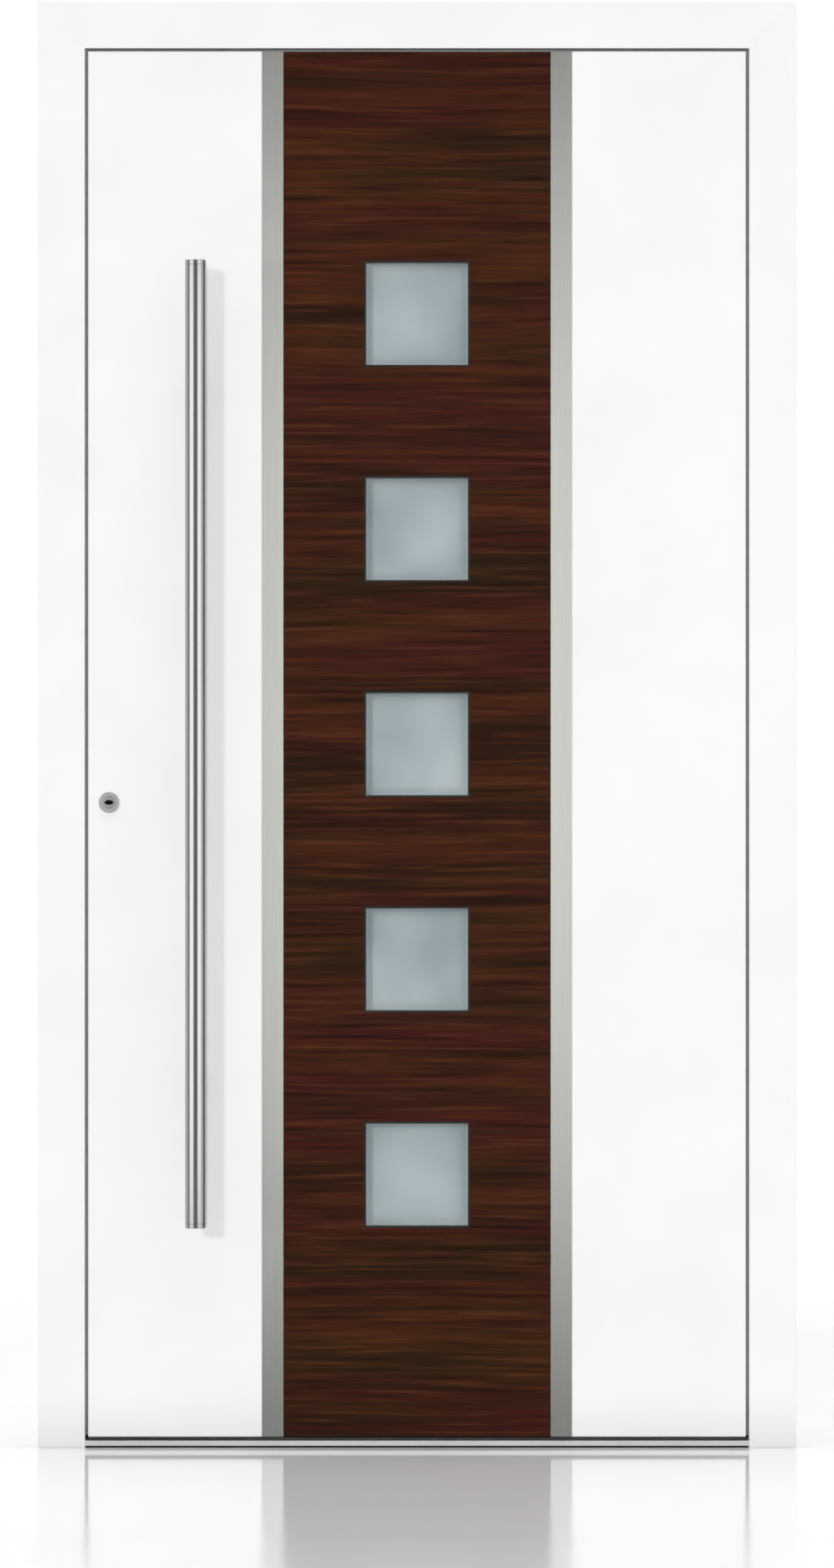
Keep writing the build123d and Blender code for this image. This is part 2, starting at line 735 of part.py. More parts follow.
pieces = {
    "lock_jamb": lock_jamb(),
    "hinge_jamb": jamb(1),
    "head": head(),
    "frame_thermal_breaks": frame_thermal_breaks(),
    "frame_gaskets": frame_gaskets(),
    "threshold": threshold(),
    "threshold_break": threshold_break(),
    "strike_plates": strike_plates(),
    "hinge_frame_halves": hinge_frame_halves(),
    "hinge_pins": hinge_pins(),
    "lock_stile": lock_stile(),
    "hinge_stile": stile(1),
    "top_rail": top_rail(),
    "bottom_rail": bottom_rail(),
    "leaf_thermal_breaks": leaf_thermal_breaks(),
    "left_panel": left_panel(),
    "right_panel": [outside_sheet(STRIP_HALF, LEAF_HALF)],
    "wood_panel": wood_panel(),
    "left_steel_strip": [outside_sheet(-STRIP_HALF, -WOOD_HALF, FRONT - STRIP_PROUD)],
    "right_steel_strip": [outside_sheet(WOOD_HALF, STRIP_HALF, FRONT - STRIP_PROUD)],
    "insulating_core": [infill_layer(SHEET_BACK, CORE_BACK)],
    "inside_panel": [infill_layer(CORE_BACK, INFILL_BACK)],
    "glazing_beads": glazing_beads(),
    "pull_bar": pull_bar(),
    "pull_bar_caps": pull_bar_caps(),
    "pull_bar_posts": pull_bar_posts(),
    "lock_rosette": lock_rosette(),
    "lock_core": lock_core(),
    "inside_rosettes": inside_rosettes(),
    "inside_lever": inside_lever(),
    "lock_plate": lock_plate(),
    "lock_bolts": [bolt_end(height) for height in bolt_heights()],
    "drop_seal": drop_seal(),
    "hinge_leaf_halves": hinge_leaf_halves(),
}
for number, height in enumerate(WINDOW_HEIGHTS, start=1):
    pieces[f"window_{number}_lining"] = window_lining(height)
    pieces[f"window_{number}_glass"] = window_glass(height)

os.makedirs("parts", exist_ok=True)
for name, solids in pieces.items():
    export_step(Compound(children=solids), f"parts/{name}.step")
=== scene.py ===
# %% [markdown]
# # An aluminium front door
# The door comes as a finished CAD model: frame, leaf, windows, lock and fittings, each a node with
# its own name. This lesson gives every node the finish of the real material, adds the small parts
# that a joiner would fit last, and sets it in a white studio. All sizes are metres, in the model's
# own frame: X to the right seen from outside, Y from outside to inside, Z up.

# %% Load the model
import json
import math

import bmesh
import bpy
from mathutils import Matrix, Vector


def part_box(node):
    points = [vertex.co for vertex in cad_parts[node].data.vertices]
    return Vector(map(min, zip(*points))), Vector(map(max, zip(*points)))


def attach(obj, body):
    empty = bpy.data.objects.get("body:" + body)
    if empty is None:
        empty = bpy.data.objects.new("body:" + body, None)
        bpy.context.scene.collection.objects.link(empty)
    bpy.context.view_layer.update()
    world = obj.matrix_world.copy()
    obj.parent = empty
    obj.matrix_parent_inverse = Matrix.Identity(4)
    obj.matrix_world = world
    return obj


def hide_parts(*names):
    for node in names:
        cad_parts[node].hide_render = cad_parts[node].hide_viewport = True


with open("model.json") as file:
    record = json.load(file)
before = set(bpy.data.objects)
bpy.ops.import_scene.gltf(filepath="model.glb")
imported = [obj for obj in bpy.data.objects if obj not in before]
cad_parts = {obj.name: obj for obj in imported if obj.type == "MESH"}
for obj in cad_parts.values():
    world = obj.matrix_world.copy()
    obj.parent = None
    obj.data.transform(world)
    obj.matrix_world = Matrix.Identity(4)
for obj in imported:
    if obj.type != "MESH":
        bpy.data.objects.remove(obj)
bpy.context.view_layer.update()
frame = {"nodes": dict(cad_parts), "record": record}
nodes = frame["nodes"]
MM = 0.001
bpy.ops.object.select_all(action="DESELECT")

# %% [markdown]
# ## Camera
# The door was taken straight from the front, from so far away that its sides run parallel. An
# orthographic camera would do that too, but a long lens from a distance behaves like a real one in
# every other view. The lens follows from the distance and from the height that the picture shows.

# %% Camera
VIEW_HEIGHT = 2.2766
VIEW_CENTRE = 0.9637
CAMERA_DISTANCE = 14.0
SENSOR = 36.0
door_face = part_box("left_panel")[0].y
bpy.ops.object.camera_add(
    location=(0, door_face - CAMERA_DISTANCE, VIEW_CENTRE), rotation=(math.pi / 2, 0, 0)
)
camera = bpy.context.object
camera.name = "camera"
camera.data.sensor_width = SENSOR
camera.data.lens = SENSOR * CAMERA_DISTANCE / VIEW_HEIGHT
bpy.context.scene.camera = camera
bpy.context.scene.view_settings.view_transform = "Standard"
print("lens", round(camera.data.lens, 1), "mm")

# %% [markdown]
# ## Two small helpers for shaders
# Colours are written as the sRGB hex values that a colour picker shows, and shaders want linear
# light, so one function turns them. The other adds a node to a shader: what it is given for an
# input is linked if it comes from another node, and set as a plain value if not.


# %% Helpers for shaders
def linear(hex_colour):
    """Linear RGBA of an sRGB hex colour."""
    parts = [int(hex_colour[i : i + 2], 16) / 255 for i in (1, 3, 5)]
    return [p / 12.92 if p <= 0.04045 else ((p + 0.055) / 1.055) ** 2.4 for p in parts] + [1.0]


def add_node(tree, kind, inputs=None, **settings):
    """Adds a shader node with its settings, and links or sets its inputs."""
    made = tree.nodes.new("ShaderNode" + kind)
    for name, value in settings.items():
        setattr(made, name, value)
    for name, value in (inputs or {}).items():
        if isinstance(value, bpy.types.NodeSocket):
            tree.links.new(value, made.inputs[name])
        else:
            made.inputs[name].default_value = value
    return made


print("white paint is", [round(c, 3) for c in linear("#F2F3F2")])

# %% [markdown]
# ## The studio's background
# The picture's background is plain white. The world shows white to the camera and to rays that a
# metal or a pane of glass sends on, so they show the same background, and it lights everything else
# with a softer, even level.

# %% Background
AMBIENT = 0.43
world = bpy.data.worlds.new("white_studio")
bpy.context.scene.world = world
world.use_nodes = True
tree = world.node_tree
tree.nodes.clear()
path = add_node(tree, "LightPath").outputs
seen = path["Is Camera Ray"]
for ray in ("Is Glossy Ray", "Is Transmission Ray"):
    seen = add_node(tree, "Math", {0: seen, 1: path[ray]}, use_clamp=True).outputs[0]
level = add_node(tree, "MapRange", {"Value": seen, "To Min": AMBIENT, "To Max": 1.0})
backdrop = add_node(tree, "Background", {"Color": (1, 1, 1, 1), "Strength": level.outputs[0]})
add_node(tree, "OutputWorld", {"Surface": backdrop.outputs[0]})
print("world lights at", AMBIENT)

# %% [markdown]
# ## Lamps
# The pull bar's shadow falls a little to the right and down, so the main lamp stands to the left
# and above. It is a sun lamp, because that shadow is shifted the same way at both ends of the bar. A
# fill lamp stands right at the camera, where all its shadows hide behind what throws them. A third,
# very soft one comes from overhead and keeps the floor white, and a fourth lights the inside of the
# door from behind, level with the floor, which it therefore leaves alone. None of them shows as a
# hot spot in the steel. A sun lamp lights the same from any place, so all hang in one.

# %% Lamps
LAMP_PLACE = (-1.5, -3, 3)


def hang_lamp(name, towards, strength, spread):
    """A sun lamp that shines along a direction, with the spread in degrees that softens its shadow."""
    bpy.ops.object.light_add(type="SUN", location=LAMP_PLACE)
    lamp = bpy.context.object
    lamp.name = name
    lamp.rotation_mode = "QUATERNION"
    lamp.rotation_quaternion = Vector(towards).to_track_quat("-Z", "Y")
    lamp.data.energy = strength
    lamp.data.angle = math.radians(spread)
    lamp.visible_glossy = False
    return lamp


main_lamp = hang_lamp("main_lamp", (0.41, 1.0, -0.233), 0.58, 5.0)
fill_lamp = hang_lamp("fill_lamp", (0.0, 1.0, 0.0), 1.15, 3.0)
top_lamp = hang_lamp("top_lamp", (0.0, 0.12, -1.0), 1.70, 40.0)
hall_lamp = hang_lamp("hall_lamp", (-0.45, -1.0, 0.0), 1.25, 12.0)
print("lamps:", main_lamp.name, fill_lamp.name, top_lamp.name, hall_lamp.name)

# %% [markdown]
# ## A light tent for the metal
# Polished steel shows nothing but its surroundings. In the picture the round pull bar has a dark
# stripe up its middle with a bright one on each side, and the flat strips fade towards both ends:
# that is what two tall soft boxes give, left and right of a dark camera. A wide ring of cloth round
# the door is painted with that light in front, and with two dark panels behind, which give the
# fittings inside their shape. Only reflections see it.

# %% The tent's cloth
TENT_RADIUS = 3.5
TENT_HEIGHT = 12.0
TENT_MIDDLE = 1.0
ROUND_SIDES = 96
bpy.ops.mesh.primitive_cylinder_add(
    vertices=ROUND_SIDES, radius=TENT_RADIUS, depth=TENT_HEIGHT, end_fill_type="NOTHING",
    location=(0, 0, TENT_MIDDLE),
)
tent = bpy.context.object
tent.name = "light_tent"
bpy.ops.object.transform_apply(location=True)
tent.visible_camera = tent.visible_diffuse = tent.visible_shadow = False
tent.visible_transmission = False
cloth = bpy.data.materials.new("tent_cloth_lit_by_soft_boxes")
cloth.use_nodes = True
tent.data.materials.append(cloth)
print("tent of", len(tent.data.polygons), "faces")

# %% [markdown]
# ## The tent's light
# The light is made of patches. A patch has a level inside and none outside, and each of its edges is
# a soft change along one coordinate: the angle round the tent, which is nought at the camera and
# grows to the right, or the height. Each pair of numbers below says where an edge is dark and where
# it is fully lit, and all patches are added up.

# %% Patches of light
PANEL_EDGE = 8


def patch(tree, level, edges):
    """A patch of light: the level inside all its edges, each a coordinate, a dark and a lit end."""
    light = level
    for coordinate, dark, lit in edges:
        edge = add_node(
            tree, "MapRange", {"Value": coordinate, "From Min": dark, "From Max": lit},
            interpolation_type="SMOOTHSTEP",
        )
        light = add_node(
            tree, "Math", {0: light, 1: edge.outputs["Result"]}, operation="MULTIPLY"
        ).outputs[0]
    return light


def panel_sides(angle, start, end):
    """The two soft side edges of a panel between two angles in degrees round the tent."""
    rise = (start - PANEL_EDGE / 2, start + PANEL_EDGE / 2)
    fall = (end + PANEL_EDGE / 2, end - PANEL_EDGE / 2)
    return [(angle, math.radians(dark), math.radians(lit)) for dark, lit in (rise, fall)]


print("a panel's side edges are", PANEL_EDGE, "degrees wide")

# %% Paint the tent with light
SOFT_BOX_LEVEL = 2.45
CAMERA_LEVEL = 0.26
LEFT_LEVEL = 0.45
RIGHT_LEVEL = 1.05
BEHIND_LEVEL = 1.0
DARK_PANEL_LEVEL = 0.25
SOFT_BOXES = ((-68, -27), (18, 61))
DARK_PANELS = ((-48, -20), (20, 48))
BOX_FOOT = (-0.15, 0.35)
BOX_TOP = (2.45, 1.75)
HEM_FOOT = (-0.8, 0.1)
HEM_TOP = (3.3, 2.2)
LEFT_EDGE = (math.radians(-62), math.radians(-78))
RIGHT_EDGE = (math.radians(54), math.radians(66))
tree = cloth.node_tree
tree.nodes.clear()
spot = add_node(tree, "SeparateXYZ", {0: add_node(tree, "TexCoord").outputs["Object"]}).outputs
depth = add_node(tree, "Math", {0: spot["Y"]}, operation="ABSOLUTE").outputs[0]
angle = add_node(tree, "Math", {0: spot["X"], 1: depth}, operation="ARCTAN2").outputs[0]
box_ends = [(spot["Z"], *BOX_FOOT), (spot["Z"], *BOX_TOP)]
hem = [(spot["Z"], *HEM_FOOT), (spot["Z"], *HEM_TOP)]
lights = [patch(tree, SOFT_BOX_LEVEL, panel_sides(angle, *box) + box_ends) for box in SOFT_BOXES]
lights.append(patch(tree, CAMERA_LEVEL, hem))
lights.append(patch(tree, LEFT_LEVEL - CAMERA_LEVEL, [(angle, *LEFT_EDGE)] + hem))
lights.append(patch(tree, RIGHT_LEVEL - CAMERA_LEVEL, [(angle, *RIGHT_EDGE)] + hem))
front = 0.0
for light in lights:
    front = add_node(tree, "Math", {0: front, 1: light}).outputs[0]
behind = BEHIND_LEVEL
for panel in DARK_PANELS:
    shade = patch(tree, DARK_PANEL_LEVEL - BEHIND_LEVEL, panel_sides(angle, *panel))
    behind = add_node(tree, "Math", {0: behind, 1: shade}).outputs[0]
is_behind = add_node(tree, "Math", {0: spot["Y"], 1: 0.0}, operation="GREATER_THAN").outputs[0]
glow = add_node(tree, "Mix", {0: is_behind, 2: front, 3: behind})
shine = add_node(tree, "Emission", {"Strength": glow.outputs[0]})
add_node(tree, "OutputMaterial", {"Surface": shine.outputs[0]})
print(len(lights), "patches of light in front,", len(DARK_PANELS), "dark panels behind")

# %% [markdown]
# ## Floor
# The door stands on a pale floor. It is waxed in front of the door, where it mirrors the lower end of
# the door and loses it towards the camera, and matt elsewhere. Further out the floor fades away into
# the white background. It lies half a millimetre low, so that it doesn't fight with the door's foot.

# %% Floor
FLOOR_RADIUS = 6.0
FLOOR_DROP = 0.5 * MM
bpy.ops.mesh.primitive_circle_add(
    vertices=ROUND_SIDES, radius=FLOOR_RADIUS, fill_type="NGON", location=(0, 0, -FLOOR_DROP)
)
floor = bpy.context.object
floor.name = "floor"
bpy.ops.object.transform_apply(location=True)
floor.visible_glossy = floor.visible_diffuse = False
coat = bpy.data.materials.new("pale_sealed_floor")
coat.use_nodes = True
floor.data.materials.append(coat)
print("floor", FLOOR_RADIUS, "m in radius")

# %% The floor's surface
FLOOR_COLOUR = "#FAFAFA"
FLOOR_CLEAR = 2.2
FLOOR_GONE = 4.5
WAX_HALF = 0.65
WAX_BEHIND = 0.5
WAX_FADE = 0.5
WAX_REACH = 2.2
WAX_IOR = 1.2
ROUGH_AT_DOOR = 0.05
ROUGH_FAR_OUT = 0.16
tree = coat.node_tree
shader = tree.nodes["Principled BSDF"]
shader.inputs["Base Color"].default_value = linear(FLOOR_COLOUR)
shader.inputs["IOR"].default_value = WAX_IOR
place = add_node(tree, "TexCoord").outputs["Object"]
spot = add_node(tree, "SeparateXYZ", {0: place}).outputs
blur = add_node(
    tree, "MapRange",
    {"Value": spot["Y"], "From Max": -WAX_REACH, "To Min": ROUGH_AT_DOOR, "To Max": ROUGH_FAR_OUT},
)
tree.links.new(blur.outputs[0], shader.inputs["Roughness"])
aside = add_node(tree, "Math", {0: spot["X"]}, operation="ABSOLUTE").outputs[0]
wax_edges = [
    (aside, WAX_HALF + WAX_FADE, WAX_HALF),
    (spot["Y"], WAX_BEHIND + WAX_FADE, WAX_BEHIND),
]
reach = add_node(tree, "VectorMath", {0: place}, operation="LENGTH").outputs["Value"]
gone = patch(tree, 1.0, [(reach, FLOOR_CLEAR, FLOOR_GONE)])
matt = add_node(tree, "BsdfDiffuse", {"Color": linear(FLOOR_COLOUR)})
surface = add_node(
    tree, "MixShader", {0: patch(tree, 1.0, wax_edges), 1: matt.outputs[0], 2: shader.outputs[0]}
)
clear = add_node(tree, "BsdfTransparent")
faded = add_node(tree, "MixShader", {0: gone, 1: surface.outputs[0], 2: clear.outputs[0]})
tree.links.new(faded.outputs[0], tree.nodes["Material Output"].inputs["Surface"])
print("floor fades out between", FLOOR_CLEAR, "and", FLOOR_GONE, "m")

# %% [markdown]
# ## Finishes
# Each finish starts from what the real material is and how its surface was made. Patterns read the
# object's own coordinates, so they stay put when the leaf swings, and their scale comes from a real
# size in millimetres: a noise texture of scale s has features of about 1/s metres. Most of a noise
# lies in the middle of its range, so that part is spread between the two ends that it leads to.

# %% How a finish starts
NOISE_RANGE = {"From Min": 0.3, "From Max": 0.7}


def new_finish(name):
    """A new material, its node tree, its shader and the object's own coordinates."""
    finish = bpy.data.materials.new(name)
    finish.use_nodes = True
    tree = finish.node_tree
    place = add_node(tree, "TexCoord").outputs["Object"]
    return finish, tree, tree.nodes["Principled BSDF"], place


def grain(tree, place, size_mm, detail=2.0, rough=0.5):
    """A pattern whose features have that size in millimetres along X, Y and Z."""
    scale = [1 / (size * MM) for size in size_mm]
    stretched = add_node(tree, "Mapping", {"Vector": place, "Scale": scale})
    noise = add_node(
        tree, "TexNoise",
        {"Vector": stretched.outputs[0], "Scale": 1.0, "Detail": detail, "Roughness": rough},
    )
    return noise.outputs["Fac"]


def lay_on(tree, shader, colour=None, roughness=None, bump=None):
    """Lets a shader follow patterns, each given with its two ends, or for bump its depth in mm."""
    if colour:
        pattern, dark, light = colour
        share = add_node(tree, "MapRange", {"Value": pattern, **NOISE_RANGE}).outputs[0]
        ends = {0: share, 6: linear(dark), 7: linear(light)}
        tone = add_node(tree, "Mix", ends, data_type="RGBA").outputs[2]
        tree.links.new(tone, shader.inputs["Base Color"])
    if roughness:
        pattern, low, high = roughness
        ends = {"Value": pattern, **NOISE_RANGE, "To Min": low, "To Max": high}
        gloss = add_node(tree, "MapRange", ends).outputs[0]
        tree.links.new(gloss, shader.inputs["Roughness"])
    if bump:
        pattern, depth_mm = bump
        ends = {"Height": pattern, "Strength": 1.0, "Distance": depth_mm * MM}
        tilt = add_node(tree, "Bump", ends).outputs[0]
        tree.links.new(tilt, shader.inputs["Normal"])


print("noise is used from", NOISE_RANGE["From Min"], "to", NOISE_RANGE["From Max"])

# %% [markdown]
# ### White powder coat
# Frame and leaf are aluminium, sprayed with polyester powder and baked. That leaves a satin skin with
# a very fine orange peel, a few millimetres across and some microns deep, that breaks up reflections.
# The colour drifts by a shade or two over a hand's width.

# %% White powder coat
LACQUER_IOR = 1.5
powder_coat, tree, shader, place = new_finish("satin_white_powder_coat")
peel = grain(tree, place, (2.5, 2.5, 2.5), detail=1.0)
cloud = grain(tree, place, (160, 160, 160))
lay_on(
    tree, shader, colour=(cloud, "#F1F2F1", "#F5F6F5"), roughness=(peel, 0.36, 0.46), bump=(peel, 0.02)
)
shader.inputs["IOR"].default_value = LACQUER_IOR
print(powder_coat.name)

# %% [markdown]
# ### Dark wood
# The band up the middle is a dark brown veneer with its grain across the door, under a matt lacquer.
# Long streaks of different heights lie over each other: broad ones that lean to red or to olive,
# narrow light and dark ones, and the short dark pores of an open-grained wood. A slow wander bends
# the streaks, so no line runs ruler-straight. Each streak below is a pattern, the two values of it
# between which the streak comes or goes, how strong it is at each of them, and its colour.

# %% Dark wood
WANDER = 3.5 * MM
dark_wood, tree, shader, place = new_finish("dark_wood_veneer_matt_lacquer")
slow = grain(tree, place, (420, 90, 160), detail=1.0)
wander = add_node(
    tree, "MapRange", {"Value": slow, **NOISE_RANGE, "To Min": -WANDER, "To Max": WANDER}
)
shift = add_node(tree, "CombineXYZ", {"Z": wander.outputs[0]})
bent = add_node(tree, "VectorMath", {0: place, 1: shift.outputs[0]}, operation="ADD").outputs[0]
broad = grain(tree, bent, (520, 60, 30), detail=1.5)
zone = grain(tree, bent, (700, 60, 95), detail=1.5)
tint = grain(tree, bent, (420, 60, 15))
narrow = grain(tree, bent, (220, 40, 7.5), detail=3.0, rough=0.6)
hair = grain(tree, bent, (80, 20, 2.2))
pores = grain(tree, bent, (22, 8, 0.9), detail=1.0)
STREAKS = (
    (broad, 0.34, 0.66, 0.0, 1.0, "#46240E"),
    (zone, 0.48, 0.66, 0.0, 0.8, "#3E1412"),
    (zone, 0.34, 0.50, 0.7, 0.0, "#281B0A"),
    (tint, 0.50, 0.68, 0.0, 0.5, "#461812"),
    (tint, 0.32, 0.50, 0.5, 0.0, "#2B1E0D"),
    (narrow, 0.52, 0.70, 0.0, 0.8, "#542D14"),
    (narrow, 0.30, 0.47, 0.9, 0.0, "#1F0E06"),
    (hair, 0.30, 0.50, 0.4, 0.0, "#22100A"),
    (pores, 0.26, 0.36, 0.5, 0.0, "#170A05"),
)
tone = linear("#281308")
for pattern, start, end, at_start, at_end, colour in STREAKS:
    share = add_node(
        tree, "MapRange",
        {"Value": pattern, "From Min": start, "From Max": end, "To Min": at_start, "To Max": at_end},
    ).outputs[0]
    tone = add_node(tree, "Mix", {0: share, 6: tone, 7: linear(colour)}, data_type="RGBA").outputs[2]
tree.links.new(tone, shader.inputs["Base Color"])
furrows = narrow
for finer in (hair, pores):
    furrows = add_node(tree, "Math", {0: furrows, 1: finer}).outputs[0]
lay_on(tree, shader, roughness=(narrow, 0.62, 0.5), bump=(furrows, 0.08))
shader.inputs["IOR"].default_value = LACQUER_IOR
shader.inputs["Specular IOR Level"].default_value = 0.08
print(dark_wood.name, "of", len(STREAKS), "streaks")

# %% [markdown]
# ### Brushed stainless steel
# The strips, the pull bar and the lock's plates are stainless steel, brushed along their length with
# a fine belt. The lines are a tenth of a millimetre apart on the real thing and are drawn coarser
# here, so that they still show, and a broader smear lies under them. The same recipe serves for both
# directions of the brushing and for several grades of polish.

# %% Brushed stainless steel
SMEAR_WIDTH = 9
SMEAR_SHARE = 0.3


def brushed_metal(name, hue, line_mm, roughness, depth_mm, metallic=1.0, spread=0.0):
    """Metal brushed along the axis in which line_mm is longest; spread widens its shine across it."""
    finish, tree, shader, place = new_finish(name)
    lines = grain(tree, place, line_mm, detail=3.0, rough=0.65)
    smear = grain(tree, place, [size * SMEAR_WIDTH for size in line_mm])
    marks = add_node(tree, "Mix", {0: SMEAR_SHARE, 2: lines, 3: smear}).outputs[0]
    lay_on(
        tree, shader, colour=(marks, *hue), roughness=(marks, *roughness), bump=(lines, depth_mm)
    )
    shader.inputs["Metallic"].default_value = metallic
    if spread:
        shader.inputs["Anisotropic"].default_value = spread
        across = add_node(tree, "Tangent", direction_type="RADIAL", axis="Z")
        tree.links.new(across.outputs[0], shader.inputs["Tangent"])
    return finish


strip_steel = brushed_metal(
    "brushed_stainless_strip", ("#D2D3CD", "#DDDED9"), (1.6, 1.6, 140), (0.54, 0.62), 0.006, spread=1.0
)
bar_steel = brushed_metal(
    "fine_brushed_stainless_bar", ("#979495", "#A5A2A3"), (1.2, 1.2, 90), (0.12, 0.17), 0.002, 0.88
)
plate_steel = brushed_metal(
    "brushed_stainless_plate", ("#C0BEBD", "#CFCDCC"), (1.0, 1.0, 60), (0.5, 0.6), 0.006, 0.8
)
lever_steel = brushed_metal(
    "fine_brushed_stainless_lever", ("#BDBCBC", "#CBCACA"), (60, 1.0, 1.0), (0.18, 0.25), 0.003
)
hinge_steel = brushed_metal(
    "satin_hinge_steel", ("#B7B8B8", "#C7C8C8"), (1.2, 1.2, 40), (0.3, 0.4), 0.004
)
core_metal = brushed_metal(
    "satin_nickel_lock_core", ("#B2B0AE", "#C0BEBC"), (3.0, 0.8, 0.8), (0.45, 0.55), 0.004, 0.8
)
print("six metals brushed")

# %% [markdown]
# ### Anodised aluminium
# The threshold and the window linings are extruded aluminium, etched until it is matt and anodised. The
# threshold is anodised in its natural colour. The linings are anodised grey, and that grey is also made
# darker as painted shade, so the recesses round the panes and the linings' bevels read shaded. The clear
# oxide layer scatters much of the light, so it looks paler and less like a mirror than bare metal, and
# the die leaves very fine lines along the bar.

# %% Anodised aluminium
anodised = brushed_metal(
    "natural_anodised_aluminium", ("#D3D5D5", "#DFE1E1"), (80, 1.5, 80), (0.45, 0.55), 0.004, 0.35
)
# Painted shade: the linings' grey is darker than the metal would be, so the window recesses read shaded.
lining_metal = brushed_metal(
    "grey_anodised_lining_and_painted_shade", ("#787B7A", "#848786"), (80, 1.5, 80), (0.45, 0.55), 0.004, 0.35
)
print(anodised.name, lining_metal.name)

# %% [markdown]
# ### Satin glass
# The panes are etched with acid, which turns a clear surface into a silky one: light comes through,
# shapes don't. Part of the light is scattered back at the surface, so the recess still shows the
# shadow of its own edge, and the etching is a little cloudy, as the acid bites unevenly.

# %% Satin glass
GLASS_IOR = 1.5
satin_glass, tree, shader, place = new_finish("acid_etched_satin_glass")
frost = grain(tree, place, (1.2, 1.2, 1.2))
haze = grain(tree, place, (110, 110, 110), detail=1.0)
lay_on(
    tree, shader, colour=(haze, "#ABBCC0", "#CCD8DC"), roughness=(frost, 0.46, 0.56), bump=(frost, 0.01)
)
shader.inputs["IOR"].default_value = GLASS_IOR
shader.inputs["Transmission Weight"].default_value = 0.4
print(satin_glass.name)

# %% [markdown]
# ### Rubber, insulating plastic and foam
# The gaskets are extruded EPDM, dull black with a bloom of grey dust. The thermal breaks are
# polyamide with glass fibre, a harder black with drawn lines along the bar. The leaf's core is
# pale rigid foam, which shows only round the windows and the lock.

# %% Rubber, plastic and foam
rubber, tree, shader, place = new_finish("black_epdm_rubber")
bloom = grain(tree, place, (9, 9, 9), detail=3.0)
skin = grain(tree, place, (0.8, 0.8, 0.8))
lay_on(
    tree, shader, colour=(bloom, "#141414", "#1E1E1E"), roughness=(bloom, 0.62, 0.78), bump=(skin, 0.02)
)

polyamide, tree, shader, place = new_finish("black_glass_filled_polyamide")
drawn = grain(tree, place, (1.2, 1.2, 70))
lay_on(
    tree, shader, colour=(drawn, "#1B1B1D", "#27272A"), roughness=(drawn, 0.5, 0.62), bump=(drawn, 0.03)
)

foam, tree, shader, place = new_finish("rigid_foam_core")
cells = grain(tree, place, (1.5, 1.5, 1.5), detail=3.0)
lay_on(tree, shader, colour=(cells, "#CFC49C", "#E0D6B2"), bump=(cells, 0.2))
shader.inputs["Roughness"].default_value = 0.9
print(rubber.name, polyamide.name, foam.name)

# %% [markdown]
# ## Dressing the CAD nodes
# The record says which slot each node belongs to, so most nodes get their finish by slot, and a few
# get their own grade of it by name.

# %% Dress the nodes
WINDOWS = range(1, 6)
BY_SLOT = {
    "white_powder_coat": powder_coat,
    "insulating_plastic": polyamide,
    "black_rubber": rubber,
    "anodised_aluminium": anodised,
    "brushed_stainless": plate_steel,
    "hinge_steel": hinge_steel,
    "lock_core_metal": core_metal,
    "dark_wood": dark_wood,
    "satin_glass": satin_glass,
    "core_foam": foam,
}
BY_NAME = {
    "left_steel_strip": strip_steel,
    "right_steel_strip": strip_steel,
    "pull_bar": bar_steel,
    "pull_bar_caps": bar_steel,
    "pull_bar_posts": bar_steel,
    "inside_lever": lever_steel,
}
for number in WINDOWS:
    BY_NAME[f"window_{number}_lining"] = lining_metal
for part in frame["record"]["subparts"]:
    dressed = nodes[part["node"]]
    dressed.data.materials.clear()
    dressed.data.materials.append(BY_NAME.get(dressed.name, BY_SLOT[part["material_slot"]]))

# %% [markdown]
# ## Small helpers for modelling
# The next pieces are modelled as by hand: a primitive, edit mode, a few faces or edges picked by
# where they are or where they look, and an operator. These helpers only pick, join and sign off a
# piece. A face looks along an axis when nearly all of its normal lies along that axis.

# %% Helpers for picking
FACING = 0.9


def start_editing():
    """Goes into edit mode on the active object with nothing selected."""
    bpy.ops.object.mode_set(mode="EDIT")
    bpy.ops.mesh.select_mode(type="FACE")
    bpy.ops.mesh.select_all(action="DESELECT")


def stop_editing():
    """Goes back to object mode, which writes the mesh."""
    bpy.ops.object.mode_set(mode="OBJECT")


def smooth_below(degrees):
    """Shades the active object smooth, apart from the edges that are sharper than that."""
    bpy.ops.object.shade_smooth_by_angle(angle=math.radians(degrees))


def pick_faces(test):
    """Selects the faces whose normal passes the test, and nothing else."""
    bpy.ops.mesh.select_all(action="DESELECT")
    mesh = bpy.context.object.data
    shape = bmesh.from_edit_mesh(mesh)
    for face in shape.faces:
        if test(face.normal):
            face.select_set(True)
    bmesh.update_edit_mesh(mesh)


def pick_edges(test):
    """Selects the edges whose two ends both pass the test, and nothing else."""
    bpy.ops.mesh.select_mode(type="EDGE")
    bpy.ops.mesh.select_all(action="DESELECT")
    mesh = bpy.context.object.data
    shape = bmesh.from_edit_mesh(mesh)
    for edge in shape.edges:
        edge.select_set(all(test(end.co) for end in edge.verts))
    bmesh.update_edit_mesh(mesh)


print("a face looks along an axis within", round(math.degrees(math.acos(FACING))), "degrees")


# %% Helpers for pieces
def only(piece):
    """Makes the piece the only selected object, and the active one."""
    bpy.ops.object.select_all(action="DESELECT")
    piece.select_set(True)
    bpy.context.view_layer.objects.active = piece


def joined(runs):
    """Joins several objects into the first of them."""
    only(runs[0])
    for run in runs:
        run.select_set(True)
    bpy.ops.object.join()
    return bpy.context.object


